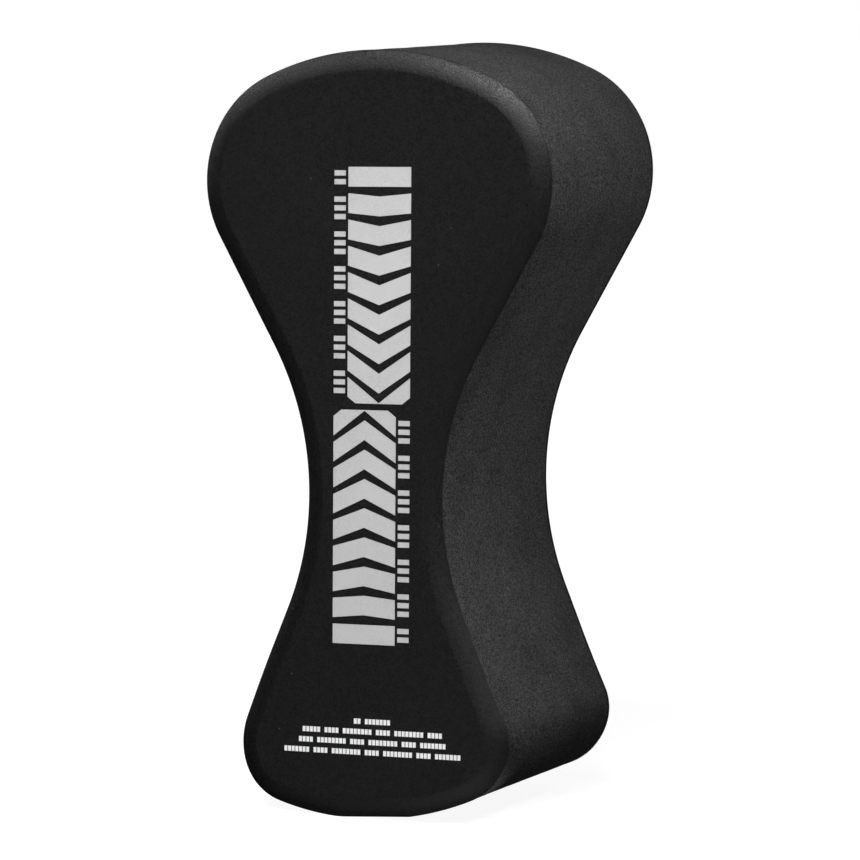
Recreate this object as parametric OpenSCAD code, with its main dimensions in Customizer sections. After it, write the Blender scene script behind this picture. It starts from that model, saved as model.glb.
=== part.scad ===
// Pull buoy: an hourglass float of closed-cell foam that a swimmer holds between the thighs.
// It stands upright on its smaller lobe: +Z up, +X to the right, front face towards -Y.
// The origin is on the base, under the middle of the body. Sizes are in millimetres.

/* [Body] */
// Length from the base to the top of the upper lobe
body_length = 235; // [220:1:250]
// Width of the upper lobe
upper_lobe_w = 116; // [106:1:124]
// Width of the lower lobe
lower_lobe_w = 90; // [80:1:98]
// Width of the waist at its narrowest
waist_w = 45; // [40:1:52]
// Height of the narrowest part of the waist above the base
waist_z = 99; // [94:1:106]
// Thickness from the front face to the back face
body_t = 84; // [70:1:96]

/* [Outline radii] */
// Radius over the top of the upper lobe
upper_crown_r = 90; // [80:1:110]
// Radius of the upper lobe's two shoulders
upper_shoulder_r = 35; // [30:1:38]
// Radius of the hollow that each thigh rests in
waist_r = 92; // [80:1:100]
// Radius under the lower lobe
lower_crown_r = 95; // [85:1:120]
// Radius of the lower lobe's two shoulders
lower_shoulder_r = 19; // [16:1:22]
// Width of the flat that the float stands on
base_flat_w = 24; // [16:1:30]

/* [Faces] */
// Width of the rounded border around the front and back faces
border_w = 6; // [5:0.5:7]
// How far the border falls away from the face before it meets the side wall
border_drop = 2.8; // [2.4:0.1:3.4]
// Slope at which the border leaves the flat face, in degrees
border_slope = 13; // [6:1:16]
// Thickness left at the edge of each facing sheet, below the rounded border
facing_edge_t = 0.6; // [0.4:0.1:1.2]

/* [Print] */
// Thickness of the printed ink
ink_t = 0.15; // [0.1:0.05:0.3]
// How far the print's rows climb to the right, in degrees
print_lean = 1.5; // [0:0.1:2.5]
// Height of the middle of the printed column above the base
column_z = 127.7; // [122:0.1:132]
// Height of the printed column
column_h = 146; // [130:1:150]
// Width of one half of the chevron column
chevron_w = 21; // [18:0.5:22]
// Height of each chevron arm, measured straight up
chevron_bar = 6; // [4:0.2:6.4]
// Number of chevrons in each half of the column
chevron_count = 9; // [6:1:10]
// Width of the column of ticks beside the chevrons
tick_w = 3.8; // [3:0.2:4.4]
// Number of ticks beside each half of the column
tick_count = 26; // [16:1:30]
// Height of the notice's lowest row above the base
notice_z = 20.4; // [18:0.1:24]
// Distance from the body's middle to the notice's middle, to the right
notice_x = 0.6; // [-1:0.1:1]
// Height of the strokes in the notice
notice_h = 1.6; // [1.2:0.1:2]

/* [Hidden] */
$fn = 96;

foam_color = [0.07, 0.07, 0.075];
facing_color = [0.04, 0.04, 0.045];
ink_color = [0.72, 0.72, 0.72];
notice_color = [0.93, 0.93, 0.93];

// Every solid is drawn lying on its back face: X across, Y along the length and Z through the thickness.
half_t = body_t / 2;
half_waist = waist_w / 2;

// Each facing sheet is flat on its bonded side, and the core fills the body between the two
facing_t = border_drop + facing_edge_t;
core_t = body_t - 2 * facing_t;

// Arc that rounds the border: it leaves the face at a slope, and drops border_drop within border_w
border_end = 2 * atan(border_drop / border_w) - border_slope;
border_r = border_drop / (cos(border_slope) - cos(border_end));

// Turn between neighbouring points of the outline's arcs, and steps along the rounded border
arc_step = 4;
border_steps = 7;

// Centres of the crowns and of the right-hand shoulders, whose circles touch from the inside
base_sag = lower_crown_r - sqrt(pow(lower_crown_r, 2) - pow(base_flat_w / 2, 2));
upper_crown_y = body_length - upper_crown_r;
lower_crown_y = lower_crown_r - base_sag;
upper_shoulder_x = upper_lobe_w / 2 - upper_shoulder_r;
lower_shoulder_x = lower_lobe_w / 2 - lower_shoulder_r;
upper_crown_angle = asin(upper_shoulder_x / (upper_crown_r - upper_shoulder_r));
lower_crown_angle = asin(lower_shoulder_x / (lower_crown_r - lower_shoulder_r));
base_angle = asin(base_flat_w / 2 / lower_crown_r);
upper_shoulder = [
    upper_shoulder_x,
    upper_crown_y + (upper_crown_r - upper_shoulder_r) * cos(upper_crown_angle)
];
lower_shoulder = [
    lower_shoulder_x,
    lower_crown_y - (lower_crown_r - lower_shoulder_r) * cos(lower_crown_angle)
];

// Largest hollow that still leaves room for a straight flank between it and a shoulder
function largest_hollow(shoulder, r) =
    (pow(half_waist - shoulder.x, 2) + pow(shoulder.y - waist_z, 2) - r * r)
    / (2 * (shoulder.x + r - half_waist));

hollow_r = min(
    waist_r,
    0.98 * largest_hollow(upper_shoulder, upper_shoulder_r),
    0.98 * largest_hollow(lower_shoulder, lower_shoulder_r)
);
hollow = [half_waist + hollow_r, waist_z];

// Direction that each straight flank faces, from the tangent between its shoulder and the hollow
function to_hollow(shoulder) = atan2(hollow.y - shoulder.y, hollow.x - shoulder.x);
function flank_turn(shoulder, r) = acos((r + hollow_r) / norm(hollow - shoulder));
function flank_length(shoulder, r) = sqrt(pow(norm(hollow - shoulder), 2) - pow(r + hollow_r, 2));

upper_flank_angle = to_hollow(upper_shoulder) + flank_turn(upper_shoulder, upper_shoulder_r);
lower_flank_angle = to_hollow(lower_shoulder) - flank_turn(lower_shoulder, lower_shoulder_r);
upper_flank_l = flank_length(upper_shoulder, upper_shoulder_r);
lower_flank_l = flank_length(lower_shoulder, lower_shoulder_r);

// Point of the border where it slopes by angle: [distance inwards from the side wall, height]
function on_border(angle) = [
    border_w - border_r * (sin(angle) - sin(border_slope)),
    half_t - border_r * (cos(border_slope) - cos(angle))
];

function on_circle(centre, r, angle) = centre + r * [cos(angle), sin(angle)];

// Points of an arc, from one angle to another
function arc_points(centre, r, from, to) =
    let (steps = ceil(abs(to - from) / arc_step))
    [for (i = [0:steps]) on_circle(centre, r, from + (to - from) * i / steps)];

function without_first(points) = [for (i = [1:len(points) - 1]) points[i]];
function reversed(points) = [for (i = [len(points) - 1:-1:0]) points[i]];

// Right-hand half of the outline, moved inwards by inset, from the top to the base.
// The crowns share a point with the shoulders, and a straight flank joins each shoulder to the hollow.
function half_outline(inset) = concat(
    arc_points([0, upper_crown_y], upper_crown_r - inset, 90, 90 - upper_crown_angle),
    without_first(
        arc_points(upper_shoulder, upper_shoulder_r - inset, 90 - upper_crown_angle, upper_flank_angle)
    ),
    arc_points(hollow, hollow_r + inset, upper_flank_angle + 180, lower_flank_angle + 180),
    arc_points(lower_shoulder, lower_shoulder_r - inset, lower_flank_angle, lower_crown_angle - 90),
    without_first(
        arc_points([0, lower_crown_y], lower_crown_r - inset, lower_crown_angle - 90, base_angle - 90)
    )
);

function left_half(inset) = [for (point = reversed(without_first(half_outline(inset)))) [-point.x, point.y]];

// Whole outline, clockwise from the top. Each side has half_count points, and they share the top one.
function outline(inset) = concat(half_outline(inset), left_half(inset));

half_count = len(half_outline(0));
ring_count = 2 * half_count - 1;

// Profile of the facing from the edge of its flat face to its bonded side.
// Each step is [distance inwards from the side wall, height].
facing_profile = concat(
    [for (i = [0:border_steps]) on_border(border_slope + (border_end - border_slope) * i / border_steps)],
    [[0, half_t - facing_t]]
);

// Flat face across a ring of the outline, in strips from side to side
flat_face = concat(
    [[0, 1, ring_count - 1]],
    [for (i = [1:half_count - 2]) [i, i + 1, ring_count - i - 1, ring_count - i]]
);

// Band of triangles from one ring down to the next
function band(from) = [
    for (i = [0:ring_count - 1])
        let (
            a = from + i,
            b = from + (i + 1) % ring_count,
            c = b + ring_count,
            d = a + ring_count
        )
        each [[a, d, c], [a, c, b]]
];

// Facing sheet: rings of the outline follow its profile, and a flat face closes the first and the last
module facing() {
    last = len(facing_profile) - 1;
    polyhedron(
        points = [
            for (step = facing_profile)
                for (point = outline(step.x))
                    [point.x, point.y, step.y]
        ],
        faces = concat(
            flat_face,
            [for (k = [0:last - 1]) each band(k * ring_count)],
            [for (face = flat_face) [for (i = reversed(face)) i + last * ring_count]]
        ),
        convexity = 4
    );
}

// Stands a solid up on its base
module stand_up() {
    rotate([90, 0, 0])
        children();
}

// Slants a flat shape, so that its rows climb to the right while its columns stay upright
module lean() {
    multmatrix([
        [1, 0, 0, 0],
        [tan(print_lean), 1, 0, 0],
        [0, 0, 1, 0],
        [0, 0, 0, 1]
    ])
        children();
}

// Lays a flat shape on the front face as a film of ink. Its own Y is height above the base.
module ink(tint) {
    color(tint)
        stand_up()
            translate([0, 0, half_t])
                linear_extrude(ink_t)
                    lean()
                        children();
}

// One V-shaped stripe: its arms fall from the column's edges to a point in the middle
module chevron(width, drop, bar) {
    polygon([
        [-width / 2, 0],
        [0, -drop],
        [width / 2, 0],
        [width / 2, bar],
        [0, bar - drop],
        [-width / 2, bar]
    ]);
}

// Upper half of the chevron column. The stripes start flat at the end and deepen towards the middle.
module half_column() {
    centre_gap = 1;
    half_h = column_h / 2 - centre_gap;
    pitch = half_h / chevron_count;
    steepest = 1.1 * pitch;
    intersection() {
        translate([-chevron_w / 2, centre_gap])
            square([chevron_w, half_h]);
        for (i = [0:chevron_count])
            translate([0, column_h / 2 - chevron_bar - i * pitch])
                chevron(chevron_w, steepest * i / chevron_count, chevron_bar);
    }
}

// Column of ticks beside half of the chevrons. Every fourth one is left out, which groups them by three.
module ticks() {
    first = 4;
    pitch = (column_h / 2 - first) / tick_count;
    for (i = [0:tick_count - 1])
        if (i % 4 != 3)
            translate([-tick_w / 2, first + i * pitch])
                square([tick_w, 0.6 * pitch]);
}

// One row of the notice: upright strokes in groups of uneven length, centred on its middle
module notice_row(width, row) {
    pitch = 1.25;
    last = round(width / pitch) - 1;
    for (i = [0:last]) {
        place = (i + 6 * row) % 14;
        gap = place == 2 || place == 11;
        if (!gap)
            translate([(i - last / 2) * pitch - stroke_w / 2, 0])
                square([stroke_w, notice_h]);
    }
}

// The chevrons and the ticks beside them fill the column's width between them
tick_gap = 0.9;
chevron_x = (tick_w + tick_gap) / 2;
tick_x = (chevron_w + tick_gap) / 2;

// Widths of the notice's rows, from the top
notice_rows = [12, 48, 50, 60];
notice_pitch = 3.2;
stroke_w = 0.95;

module foam_core() {
    color(foam_color)
        stand_up()
            translate([0, 0, -core_t / 2])
                linear_extrude(core_t)
                    polygon(outline(0));
}

module front_facing() {
    color(facing_color)
        stand_up()
            facing();
}

module back_facing() {
    color(facing_color)
        stand_up()
            mirror([0, 0, 1])
                facing();
}

module upper_chevron_print() {
    ink(ink_color)
        translate([chevron_x, column_z])
            half_column();
}

module lower_chevron_print() {
    ink(ink_color)
        translate([-chevron_x, column_z])
            rotate(180)
                half_column();
}

module left_tick_print() {
    ink(ink_color)
        translate([-tick_x, column_z])
            ticks();
}

module right_tick_print() {
    ink(ink_color)
        translate([tick_x, column_z])
            rotate(180)
                ticks();
}

module notice_print() {
    last = len(notice_rows) - 1;
    ink(notice_color)
        for (row = [0:last])
            translate([notice_x, notice_z + notice_pitch * (last - row)])
                notice_row(notice_rows[row], row);
}

foam_core();
front_facing();
back_facing();
upper_chevron_print();
lower_chevron_print();
left_tick_print();
right_tick_print();
notice_print();
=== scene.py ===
"""Pull buoy: an hourglass block of cut foam with a smooth foam facing on its front and back.

The three foam pieces are made here as closed meshes that stand for their CAD solids. The ink films on the
front stay CAD nodes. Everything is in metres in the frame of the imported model: +Z up, front face towards
-Y, origin under the base.
"""
import math

import bpy
from mathutils import Matrix, Vector, noise


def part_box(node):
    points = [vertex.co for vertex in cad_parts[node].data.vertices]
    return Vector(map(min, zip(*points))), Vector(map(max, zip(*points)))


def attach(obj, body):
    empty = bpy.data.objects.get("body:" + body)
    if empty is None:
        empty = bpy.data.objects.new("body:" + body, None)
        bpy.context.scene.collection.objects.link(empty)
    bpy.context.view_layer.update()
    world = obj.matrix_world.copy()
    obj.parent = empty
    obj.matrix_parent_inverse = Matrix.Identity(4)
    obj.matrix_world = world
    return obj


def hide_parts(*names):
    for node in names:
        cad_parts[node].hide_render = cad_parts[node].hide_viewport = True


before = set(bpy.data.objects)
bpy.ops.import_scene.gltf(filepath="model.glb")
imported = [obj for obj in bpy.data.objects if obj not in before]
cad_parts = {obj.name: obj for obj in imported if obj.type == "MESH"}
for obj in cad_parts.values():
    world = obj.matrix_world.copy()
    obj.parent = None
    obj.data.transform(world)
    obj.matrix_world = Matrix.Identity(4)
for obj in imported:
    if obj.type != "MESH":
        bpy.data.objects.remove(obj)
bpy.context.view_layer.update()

MM = 0.001

# ---------------------------------------------------------------- places, from the frame
core_low, core_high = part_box("foam_core")
LENGTH = core_high.z - core_low.z
UPPER_HALF_W = core_high.x
FRONT_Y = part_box("front_facing")[0].y
BACK_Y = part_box("back_facing")[1].y
MIDDLE = (0, 0, LENGTH / 2)

# ---------------------------------------------------------------- the outline's other sizes
LOWER_HALF_W = 45 * MM
HALF_WAIST = 22.5 * MM
WAIST_Z = 99 * MM
UPPER_CROWN_R = 90 * MM
UPPER_SHOULDER_R = 35 * MM
HOLLOW_R = 92 * MM
LOWER_CROWN_R = 95 * MM
LOWER_SHOULDER_R = 19 * MM
BASE_HALF_W = 12 * MM

# The block is a little out of square: its right side sits higher than its left, most of all at the foot.
# The foot's slope holds up to one height and the upper slope from another, and they blend in between.
FOOT_SLANT = 0.078
UPPER_SLANT = 0.019
FOOT_SLANT_TOP = 10 * MM
UPPER_SLANT_FOOT = 50 * MM

# Distance between samples along the outline, and between rings along the side wall
SPACING = 1.1 * MM
RING_SPACING = 1.6 * MM

# ---------------------------------------------------------------- the facings' borders and edges
# The border leaves the flat face at a slope, and is a shallow arc from there to the facing's edge
BORDER_W = 6 * MM
BORDER_DROP = 2.8 * MM
BORDER_START = math.radians(13)
BORDER_END = 2 * math.atan(BORDER_DROP / BORDER_W) - BORDER_START
BORDER_R = BORDER_DROP / (math.cos(BORDER_START) - math.cos(BORDER_END))
BORDER_STEPS = 12

# The edge rolls over a lip into a thin seam, and the block's edge beside the seam is rounded
LIP_R = 0.28 * MM
LIP_TURN = math.radians(165)
SEAM_DEPTH = 0.5 * MM
SEAM_GAP = 0.22 * MM
ARRIS_R = 0.7 * MM
EDGE_STEPS = 5

# Insets of the rings that cover the flat beside the border
FLAT_INSETS = [15 * MM, 11 * MM, 8.5 * MM, 7 * MM, 6.4 * MM]

# The bonded sides bulge a hair towards each other, so the seam narrows inwards
FACING_BULGE = 0.05 * MM
CORE_BULGE = 0.1 * MM

# The faint wave in the cut wall: its height, its long swells per metre along X and Z and along Y, the short
# swells per metre and their share, and how fast it grows from the wall's edges
WALL_WAVE = 0.16 * MM
LONG_SWELLS = 55
LONG_SWELLS_Y = 40
SHORT_SWELLS = 190
SHORT_SHARE = 0.4
WAVE_GROWTH = 6


# ---------------------------------------------------------------- outline
def arc(centre, radius, start, end, hollow=False):
    """(point, outward normal) pairs along an arc in the XZ plane."""
    steps = max(2, math.ceil(abs(end - start) * radius / SPACING))
    side = -1 if hollow else 1
    samples = []
    for i in range(steps + 1):
        angle = start + (end - start) * i / steps
        ray = Vector((math.cos(angle), math.sin(angle)))
        samples.append((centre + radius * ray, side * ray))
    return samples


def straight(start, end, normal_start, normal_end):
    """(point, outward normal) pairs between two points, without the points themselves."""
    steps = max(2, math.ceil((end - start).length / SPACING))
    samples = []
    for i in range(1, steps):
        t = i / steps
        samples.append((start.lerp(end, t), normal_start.lerp(normal_end, t)))
    return samples


def flank_angle(shoulder, shoulder_r, hollow, side):
    """Direction that the straight flank between a shoulder and the hollow faces."""
    across = hollow - shoulder
    turn = math.acos((shoulder_r + HOLLOW_R) / across.length)
    return math.atan2(across.y, across.x) + side * turn


def right_half():
    """The outline's right-hand half, from the top to the right end of the flat base."""
    upper_x = UPPER_HALF_W - UPPER_SHOULDER_R
    lower_x = LOWER_HALF_W - LOWER_SHOULDER_R
    upper_turn = math.asin(upper_x / (UPPER_CROWN_R - UPPER_SHOULDER_R))
    lower_turn = math.asin(lower_x / (LOWER_CROWN_R - LOWER_SHOULDER_R))
    base_turn = math.asin(BASE_HALF_W / LOWER_CROWN_R)
    upper_crown = Vector((0, LENGTH - UPPER_CROWN_R))
    lower_crown = Vector((0, LOWER_CROWN_R * math.cos(base_turn)))
    upper = upper_crown + Vector((upper_x, (UPPER_CROWN_R - UPPER_SHOULDER_R) * math.cos(upper_turn)))
    lower = lower_crown + Vector((lower_x, -(LOWER_CROWN_R - LOWER_SHOULDER_R) * math.cos(lower_turn)))
    hollow = Vector((HALF_WAIST + HOLLOW_R, WAIST_Z))
    upper_flank = flank_angle(upper, UPPER_SHOULDER_R, hollow, 1)
    lower_flank = flank_angle(lower, LOWER_SHOULDER_R, hollow, -1)
    quarter = math.pi / 2

    crown = arc(upper_crown, UPPER_CROWN_R, quarter, quarter - upper_turn)
    shoulder = arc(upper, UPPER_SHOULDER_R, quarter - upper_turn, upper_flank)
    waist = arc(hollow, HOLLOW_R, math.pi + upper_flank, math.pi + lower_flank, hollow=True)
    foot = arc(lower, LOWER_SHOULDER_R, lower_flank, lower_turn - quarter)
    sole = arc(lower_crown, LOWER_CROWN_R, lower_turn - quarter, base_turn - quarter)
    upper_run = straight(shoulder[-1][0], waist[0][0], shoulder[-1][1], waist[0][1])
    lower_run = straight(waist[-1][0], foot[0][0], waist[-1][1], foot[0][1])
    return crown[:-1] + shoulder + upper_run + waist + lower_run + foot[:-1] + sole


def whole_outline(right):
    """The closed outline, clockwise from the top."""
    left = [(Vector((-p.x, p.y)), Vector((-n.x, n.y))) for p, n in reversed(right)]
    base = straight(right[-1][0], left[0][0], right[-1][1], left[0][1])
    return right + base + left[:-1]


RIGHT_HALF = right_half()
OUTLINE = whole_outline(RIGHT_HALF)
COUNT = len(OUTLINE)


def slant(z):
    """How steeply the block climbs to the right at a height z."""
    t = (z - FOOT_SLANT_TOP) / (UPPER_SLANT_FOOT - FOOT_SLANT_TOP)
    t = min(1, max(0, t))
    return FOOT_SLANT + (UPPER_SLANT - FOOT_SLANT) * t * t * (3 - 2 * t)


LOWEST = min(p.y + slant(p.y) * p.x for p, n in OUTLINE)


def slanted(x, z):
    """Height of a point on the slanted block. Its base still rests on the floor."""
    return z + slant(z) * x - LOWEST


def swell(x, y, z):
    """How far the cut wall stands out at a place, from a long wave and a short one."""
    long_wave = noise.noise(Vector((x * LONG_SWELLS, y * LONG_SWELLS_Y, z * LONG_SWELLS)))
    short_wave = noise.noise(Vector((x, y, z)) * SHORT_SWELLS)
    return long_wave + SHORT_SHARE * short_wave


def ring(inset, y, wave=0):
    """A closed ring of points: the outline moved inwards by inset, at y, and along its normals by a wave."""
    points = []
    for p, n in OUTLINE:
        x = p.x - n.x * inset
        z = p.y - n.y * inset
        if wave:
            height = wave * swell(x, y, z)
            x += n.x * height
            z += n.y * height
        points.append(Vector((x, y, slanted(x, z))))
    return points


# ---------------------------------------------------------------- meshes
def across(first, flip):
    """Faces that close a ring from side to side. Sample i on the right mirrors COUNT - i on the left."""
    last = len(RIGHT_HALF) - 2
    faces = [[first, first + 1, first + COUNT - 1]]
    for i in range(1, last):
        faces.append([first + i, first + i + 1, first + COUNT - i - 1, first + COUNT - i])
    faces.append([first + i for i in range(last, COUNT - last + 1)])
    return [face[::-1] for face in faces] if flip else faces


def loft(name, rings):
    """A closed mesh through rings of points, from a front face to a back face."""
    points = [point for loop in rings for point in loop]
    faces = across(0, flip=True)
    for k in range(len(rings) - 1):
        base = k * COUNT
        for i in range(COUNT):
            j = (i + 1) % COUNT
            faces.append([base + i, base + j, base + COUNT + j, base + COUNT + i])
    faces += across((len(rings) - 1) * COUNT, flip=False)
    mesh = bpy.data.meshes.new(name)
    mesh.from_pydata(points, [], faces)
    mesh.validate()
    for polygon in mesh.polygons:
        polygon.use_smooth = True
    piece = bpy.data.objects.new(name, mesh)
    bpy.context.scene.collection.objects.link(piece)
    return piece


def border():
    """(inset, depth) along the border of a facing, from its flat to its edge."""
    profile = []
    for i in range(BORDER_STEPS + 1):
        angle = BORDER_START + (BORDER_END - BORDER_START) * i / BORDER_STEPS
        profile.append((
            BORDER_W - BORDER_R * (math.sin(angle) - math.sin(BORDER_START)),
            BORDER_R * (math.cos(BORDER_START) - math.cos(angle)),
        ))
    return profile


def lip():
    """(inset, depth) along the facing's edge, which rolls over and turns into the seam."""
    centre_inset = LIP_R * math.sin(BORDER_END)
    centre_depth = BORDER_DROP + LIP_R * math.cos(BORDER_END)
    profile = []
    for i in range(1, EDGE_STEPS + 1):
        angle = BORDER_END + (LIP_TURN - BORDER_END) * i / EDGE_STEPS
        profile.append((centre_inset - LIP_R * math.sin(angle), centre_depth - LIP_R * math.cos(angle)))
    return profile


# Depth at which the seam between facing and block starts
SEAM_START = lip()[-1][1]


def facing_profile():
    """(inset, depth) from the flat of the outer side, over the lip and into the seam, to the bonded side."""
    outer = [(inset, 0) for inset in FLAT_INSETS] + border()
    bonded = [(SEAM_DEPTH, SEAM_START + 0.02 * MM), (FLAT_INSETS[0], SEAM_START + FACING_BULGE)]
    return outer + lip() + bonded


def core_edge_profile():
    """(inset, depth) from one end of the core, over its rounded arris, to the side wall."""
    start = SEAM_START + SEAM_GAP
    profile = [(FLAT_INSETS[0], start - CORE_BULGE), (SEAM_DEPTH, start)]
    for i in range(1, EDGE_STEPS + 1):
        angle = math.radians(90) * i / EDGE_STEPS
        profile.append((
            SEAM_DEPTH * (1 - math.sin(angle)),
            start + ARRIS_R * (1 - math.cos(angle)),
        ))
    return profile


def make_facing(name, face_y, inwards):
    """A facing. inwards is 1 where depth runs towards +Y, and -1 for the back."""
    rings = [ring(inset, face_y + inwards * depth) for inset, depth in facing_profile()]
    if inwards < 0:
        rings.reverse()
    return loft(name, rings)


def make_core():
    """The cut block. Its side wall waves a little, as foam does along a cut, but not at its two edges."""
    edge = core_edge_profile()
    rings = [ring(inset, FRONT_Y + depth) for inset, depth in edge[:-1]]
    wall_from = FRONT_Y + edge[-1][1]
    wall_to = BACK_Y - edge[-1][1]
    rows = math.ceil((wall_to - wall_from) / RING_SPACING)
    for i in range(rows + 1):
        t = i / rows
        fade = min(1, WAVE_GROWTH * min(t, 1 - t))
        rings.append(ring(0, wall_from + (wall_to - wall_from) * t, WALL_WAVE * fade))
    rings += [ring(inset, BACK_Y - depth) for inset, depth in reversed(edge[:-1])]
    return loft("core_block", rings)


# ---------------------------------------------------------------- materials
PEBBLE = 0.65 * MM
GLITTER = 0.45 * MM
GRAIN = 0.62 * MM

# The border glitters on the crown: fully above one height, and not at all below another
CROWN_FROM = 185 * MM
CROWN_FULL = 215 * MM


class Nodes:
    """Short names for making and joining the nodes of one material."""

    def __init__(self, name):
        self.material = bpy.data.materials.new(name)
        self.material.use_nodes = True
        self.tree = self.material.node_tree
        self.shader = next(n for n in self.tree.nodes if n.type == "BSDF_PRINCIPLED")
        self.place = self.add("ShaderNodeTexCoord").outputs["Object"]

    def add(self, kind, **settings):
        """A new node of one kind, with its settings."""
        node = self.tree.nodes.new(kind)
        for key, value in settings.items():
            setattr(node, key, value)
        return node

    def join(self, source, target):
        """Links an output to an input."""
        self.tree.links.new(source, target)

    def squash(self, y):
        """The place with its Y scaled. Below 1, it draws a pattern out through the thickness."""
        node = self.add("ShaderNodeMapping")
        node.inputs["Scale"].default_value = (1, y, 1)
        self.join(self.place, node.inputs["Vector"])
        return node.outputs["Vector"]

    def coordinate(self, axis):
        """The place's X, Y or Z."""
        node = self.add("ShaderNodeSeparateXYZ")
        self.join(self.place, node.inputs["Vector"])
        return node.outputs[axis]

    def size_of(self, value):
        """A value without its sign."""
        node = self.add("ShaderNodeMath", operation="ABSOLUTE")
        self.join(value, node.inputs[0])
        return node.outputs["Value"]

    def noise(self, size, detail=2, roughness=0.5, place=None):
        """Fractal noise whose features are about size across."""
        node = self.add("ShaderNodeTexNoise")
        node.inputs["Scale"].default_value = 1 / size
        node.inputs["Detail"].default_value = detail
        node.inputs["Roughness"].default_value = roughness
        self.join(place or self.place, node.inputs["Vector"])
        return node.outputs["Fac"]

    def cells(self, size):
        """Distance to the nearest of scattered points that are about size apart, as a share of size."""
        node = self.add("ShaderNodeTexVoronoi")
        node.inputs["Scale"].default_value = 1 / size
        self.join(self.place, node.inputs["Vector"])
        return node.outputs["Distance"]

    def stretch(self, value, low, high, to_low=0.0, to_high=1.0):
        """Maps a value's range to another one, clamped."""
        node = self.add("ShaderNodeMapRange")
        node.inputs["From Min"].default_value = low
        node.inputs["From Max"].default_value = high
        node.inputs["To Min"].default_value = to_low
        node.inputs["To Max"].default_value = to_high
        self.join(value, node.inputs["Value"])
        return node.outputs["Result"]

    def blend(self, amount, low, high):
        """A colour between two, by amount. Each is a colour or a node's output."""
        node = self.add("ShaderNodeMix", data_type="RGBA")
        for name, value in (("A", low), ("B", high)):
            socket = next(s for s in node.inputs if s.name == name and s.type == "RGBA")
            if isinstance(value, tuple):
                socket.default_value = (*value, 1)
            else:
                self.join(value, socket)
        self.join(amount, node.inputs["Factor"])
        return next(s for s in node.outputs if s.type == "RGBA")

    def bump(self, height, distance):
        """Relief as high as distance where height goes from 0 to 1."""
        node = self.add("ShaderNodeBump")
        node.inputs["Distance"].default_value = distance
        self.join(height, node.inputs["Height"])
        return node.outputs["Normal"]


def grey(level):
    """A neutral colour."""
    return (level, level, level)


def facing_foam():
    """Pressed foam sheet: near black and matte. Its fine pebble glitters on the border of the crown."""
    n = Nodes("pressed_foam")
    mottle = n.stretch(n.noise(16 * MM, 4), 0.3, 0.7)
    pebble = n.noise(PEBBLE, 3, 0.7)
    dust = n.stretch(n.cells(11 * MM), 0.018, 0.03, 1, 0)
    even = n.blend(mottle, grey(0.0038), grey(0.0050))
    pebbled = n.blend(n.stretch(pebble, 0.36, 0.64), grey(0.0024), even)
    n.join(n.blend(dust, pebbled, grey(0.05)), n.shader.inputs["Base Color"])
    n.join(n.stretch(pebble, 0.35, 0.65, 0.32, 0.58), n.shader.inputs["Roughness"])
    sheen = n.stretch(pebble, 0.35, 0.65, 0.22, 0.34)
    glitter = n.stretch(n.noise(GLITTER, 2, 0.6), 0.38, 0.64, 0.17, 0.5)
    on_border = n.stretch(n.size_of(n.coordinate("Y")), BACK_Y - 1.8 * MM, BACK_Y - 0.1 * MM, 1, 0)
    on_crown = n.stretch(n.coordinate("Z"), CROWN_FROM, CROWN_FULL)
    bordered = n.blend(on_border, sheen, glitter)
    n.join(n.blend(on_crown, sheen, bordered), n.shader.inputs["Specular IOR Level"])
    n.join(n.bump(pebble, 0.14 * MM), n.shader.inputs["Normal"])
    return n.material


def core_foam():
    """Cut foam: charcoal and mottled, with a grain whose pits are painted darker towards the front, a
    painted sparkle of the highlight by the front edge, and a few pale specks.
    """
    n = Nodes("cut_foam")
    drawn = n.squash(0.7)
    mottle = n.stretch(n.noise(11 * MM, 5, 0.65), 0.36, 0.64)
    smears = n.stretch(n.noise(30 * MM, 3, 0.6, n.squash(2.6)), 0.38, 0.62)
    grain = n.noise(GRAIN, 3, 0.75, drawn)
    specks = n.stretch(n.cells(6 * MM), 0.05, 0.075, 1, 0)
    smeared = n.blend(smears, grey(0.032), grey(0.056))
    even = n.blend(mottle, smeared, grey(0.062))
    # Painted sparkle: the grain's pits are darker towards the front edge, so the grain stands out most where
    # the highlight falls
    pits_painted_front_sparkle = n.blend(n.stretch(n.coordinate("Y"), FRONT_Y, BACK_Y), grey(0.011), grey(0.022))
    grained = n.blend(n.stretch(grain, 0.38, 0.62), pits_painted_front_sparkle, even)
    n.join(n.blend(specks, grained, grey(0.11)), n.shader.inputs["Base Color"])
    n.join(n.stretch(grain, 0.38, 0.62, 0.74, 0.5), n.shader.inputs["Roughness"])
    n.join(n.stretch(grain, 0.36, 0.64, 0.05, 0.2), n.shader.inputs["Specular IOR Level"])
    n.join(n.bump(grain, 0.22 * MM), n.shader.inputs["Normal"])
    return n.material


def ink(name, thin, full):
    """Screen-printing ink: matte, a little uneven, with the foam's pebble showing through."""
    n = Nodes(name)
    cover = n.stretch(n.noise(0.7 * MM, 3, 0.7), 0.3, 0.7)
    patches = n.stretch(n.noise(12 * MM, 3), 0.3, 0.7)
    worn = n.blend(cover, grey(thin), grey(full))
    n.join(n.blend(patches, worn, grey(0.3 * thin + 0.7 * full)), n.shader.inputs["Base Color"])
    n.shader.inputs["Roughness"].default_value = 0.6
    n.shader.inputs["Specular IOR Level"].default_value = 0.2
    n.join(n.bump(n.noise(0.5 * MM, 2), 0.03 * MM), n.shader.inputs["Normal"])
    return n.material


# ---------------------------------------------------------------- pieces
def dress(piece, material, slot, *nodes):
    """Gives a foam piece its material and its body, and hides the CAD nodes that it stands for."""
    piece.data.materials.clear()
    piece.data.materials.append(material)
    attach(piece, "root")
    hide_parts(*nodes)


facing_material = facing_foam()
dress(make_core(), core_foam(), "core_foam", "foam_core")
dress(make_facing("front_skin", FRONT_Y, 1), facing_material, "facing_foam", "front_facing")
dress(make_facing("back_skin", BACK_Y, -1), facing_material, "facing_foam", "back_facing")

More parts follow.
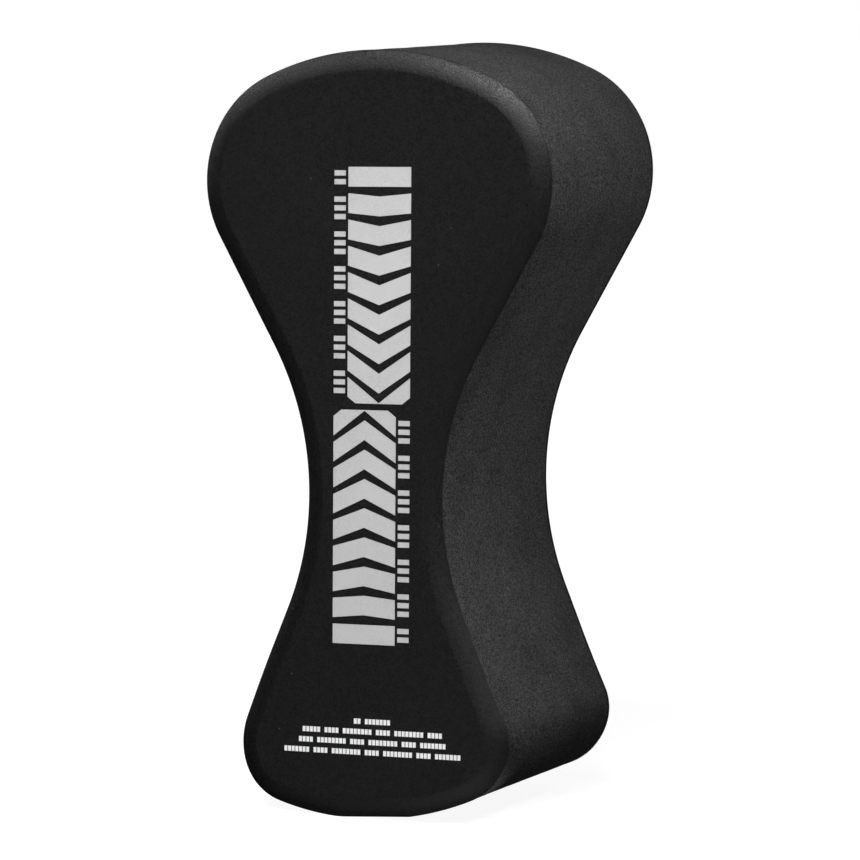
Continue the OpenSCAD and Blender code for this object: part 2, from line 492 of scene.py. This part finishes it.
grey_ink = ink("grey_printing_ink", 0.44, 0.58)
white_ink = ink("white_printing_ink", 0.86, 0.95)
for name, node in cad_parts.items():
    if name.endswith("_print"):
        node.data.materials.clear()
        node.data.materials.append(white_ink if name == "notice_print" else grey_ink)


# ---------------------------------------------------------------- stage
# Painted shade on the floor: it glows a little less up to one distance from the float, and fully beyond
# another
PAINTED_SHADE_REACH = 0.2
FULL_REACH = 0.9
PAINTED_SHADE_GLOW = 0.92

# Strength of the room's light on the float
ROOM_GLOW = 0.015


def floor():
    """A lit white sweep with painted shade: a little dimmer near the float so that its shadow shows. It
    lights nothing.
    """
    mesh = bpy.data.meshes.new("floor")
    reach = 60
    mesh.from_pydata(
        [(-reach, -reach, 0), (reach, -reach, 0), (reach, reach, 0), (-reach, reach, 0)], [], [(0, 1, 2, 3)]
    )
    piece = bpy.data.objects.new("floor", mesh)
    bpy.context.scene.collection.objects.link(piece)
    n = Nodes("floor_paper")
    away = n.add("ShaderNodeVectorMath", operation="LENGTH")
    n.join(n.place, away.inputs[0])
    n.shader.inputs["Base Color"].default_value = (*grey(0.25), 1)
    n.shader.inputs["Roughness"].default_value = 1
    n.shader.inputs["Specular IOR Level"].default_value = 0
    n.shader.inputs["Emission Color"].default_value = (1, 1, 1, 1)
    glow = n.stretch(away.outputs["Value"], PAINTED_SHADE_REACH, FULL_REACH, PAINTED_SHADE_GLOW, 1)
    n.join(glow, n.shader.inputs["Emission Strength"])
    mesh.materials.append(n.material)
    piece.visible_diffuse = False
    piece.visible_glossy = False
    piece.visible_shadow = False


def softbox(name, azimuth, elevation, watts, aim=MIDDLE, distance=1.6, size=0.5, spread=180):
    """A square softbox that faces aim. Azimuth 0 is in front of the float and 90 is to its right."""
    light = bpy.data.lights.new(name, "AREA")
    light.shape = "SQUARE"
    light.size = size
    light.energy = watts
    light.spread = math.radians(spread)
    lamp = bpy.data.objects.new(name, light)
    turn, rise = math.radians(azimuth), math.radians(elevation)
    towards = Vector((math.sin(turn) * math.cos(rise), -math.cos(turn) * math.cos(rise), math.sin(rise)))
    lamp.location = Vector(aim) + towards * distance
    lamp.rotation_mode = "QUATERNION"
    lamp.rotation_quaternion = (-towards).to_track_quat("-Z", "Y")
    lamp.visible_camera = False
    bpy.context.scene.collection.objects.link(lamp)


def beam(name, azimuth, elevation, x, z, milliwatts):
    """A narrow soft beam that picks out the edge of the front at x and z."""
    aim = (x, FRONT_Y - 3 * MM, z)
    softbox(name, azimuth, elevation, milliwatts / 1000, aim, distance=0.9, size=0.06, spread=10)


def lights():
    """Large softboxes all round, a near one low on the right, and beams for the edges that shine."""
    softbox("key", 5, 50, 20)
    softbox("key_right", 26, 50, 6)
    softbox("front", 22, 26, 3)
    softbox("high_left", -50, 58, 3)
    softbox("low_left", -28, 2, 0.9)
    softbox("rim_left", -95, 15, 1.3)
    softbox("back", 214, -12, 7)
    softbox("back_right", 150, 28, 0.6)
    softbox("under_left", -30, -25, 0.6)
    softbox("under_right", 30, -25, 1.2)
    softbox("under", -5, -50, 3.2)
    softbox("right", 110, -5, 0.044, (0.03, 0, 0.15), distance=0.42, size=0.12, spread=36)
    beam("crown_side", 90, 50, 0.025, 0.228, 23)
    beam("crown_edge", 60, 45, 0.025, 0.228, 3)
    beam("crown_glint", 34, 42, 0.045, 0.206, 5)
    beam("hollow_side", 90, 50, 0.038, 0.065, 9)
    beam("foot_edge", 60, 45, 0.04, 0.03, 9)
    beam("crown_left", -70, 40, -0.045, 0.195, 9)
    softbox("flank", 125, 60, 0.006, (0.045, 0, 0.05), distance=0.9, size=0.1, spread=12)
    foot_arris = (0.036, FRONT_Y + 4 * MM, 0.012)
    softbox("foot_arris", 96, -20, 0.0006, foot_arris, distance=0.2, size=0.012, spread=6)


def surroundings():
    """The room: white to the camera, and nearly dark for the float."""
    world = bpy.data.worlds.new("studio")
    world.use_nodes = True
    tree = world.node_tree
    background = tree.nodes["Background"]
    path = tree.nodes.new("ShaderNodeLightPath")
    strength = tree.nodes.new("ShaderNodeMix")
    strength.inputs["A"].default_value = ROOM_GLOW
    strength.inputs["B"].default_value = 1
    tree.links.new(path.outputs["Is Camera Ray"], strength.inputs["Factor"])
    tree.links.new(strength.outputs["Result"], background.inputs["Strength"])
    background.inputs["Color"].default_value = (1, 1, 1, 1)
    bpy.context.scene.world = world


def camera():
    """A long lens, a little above the horizontal and off to the right of the front."""
    azimuth, elevation, roll = (math.radians(a) for a in (25, 6.258, 0.354))
    aim = Vector((0, 0, 116.6 * MM))
    distance = 1.5641
    back = Vector((
        math.sin(azimuth) * math.cos(elevation),
        -math.cos(azimuth) * math.cos(elevation),
        math.sin(elevation),
    ))
    right = Vector((math.cos(azimuth), math.sin(azimuth), 0))
    up = back.cross(right)
    side = right * math.cos(roll) + up * math.sin(roll)
    top = up * math.cos(roll) - right * math.sin(roll)
    data = bpy.data.cameras.new("camera")
    data.sensor_width = 36
    data.lens = 210.03
    data.clip_end = 100
    lens = bpy.data.objects.new("camera", data)
    turn = Matrix((side, top, back)).transposed().to_4x4()
    lens.matrix_world = Matrix.Translation(aim + back * distance) @ turn
    bpy.context.scene.collection.objects.link(lens)
    bpy.context.scene.camera = lens


floor()
surroundings()
lights()
camera()
bpy.context.scene.view_settings.view_transform = "Standard"
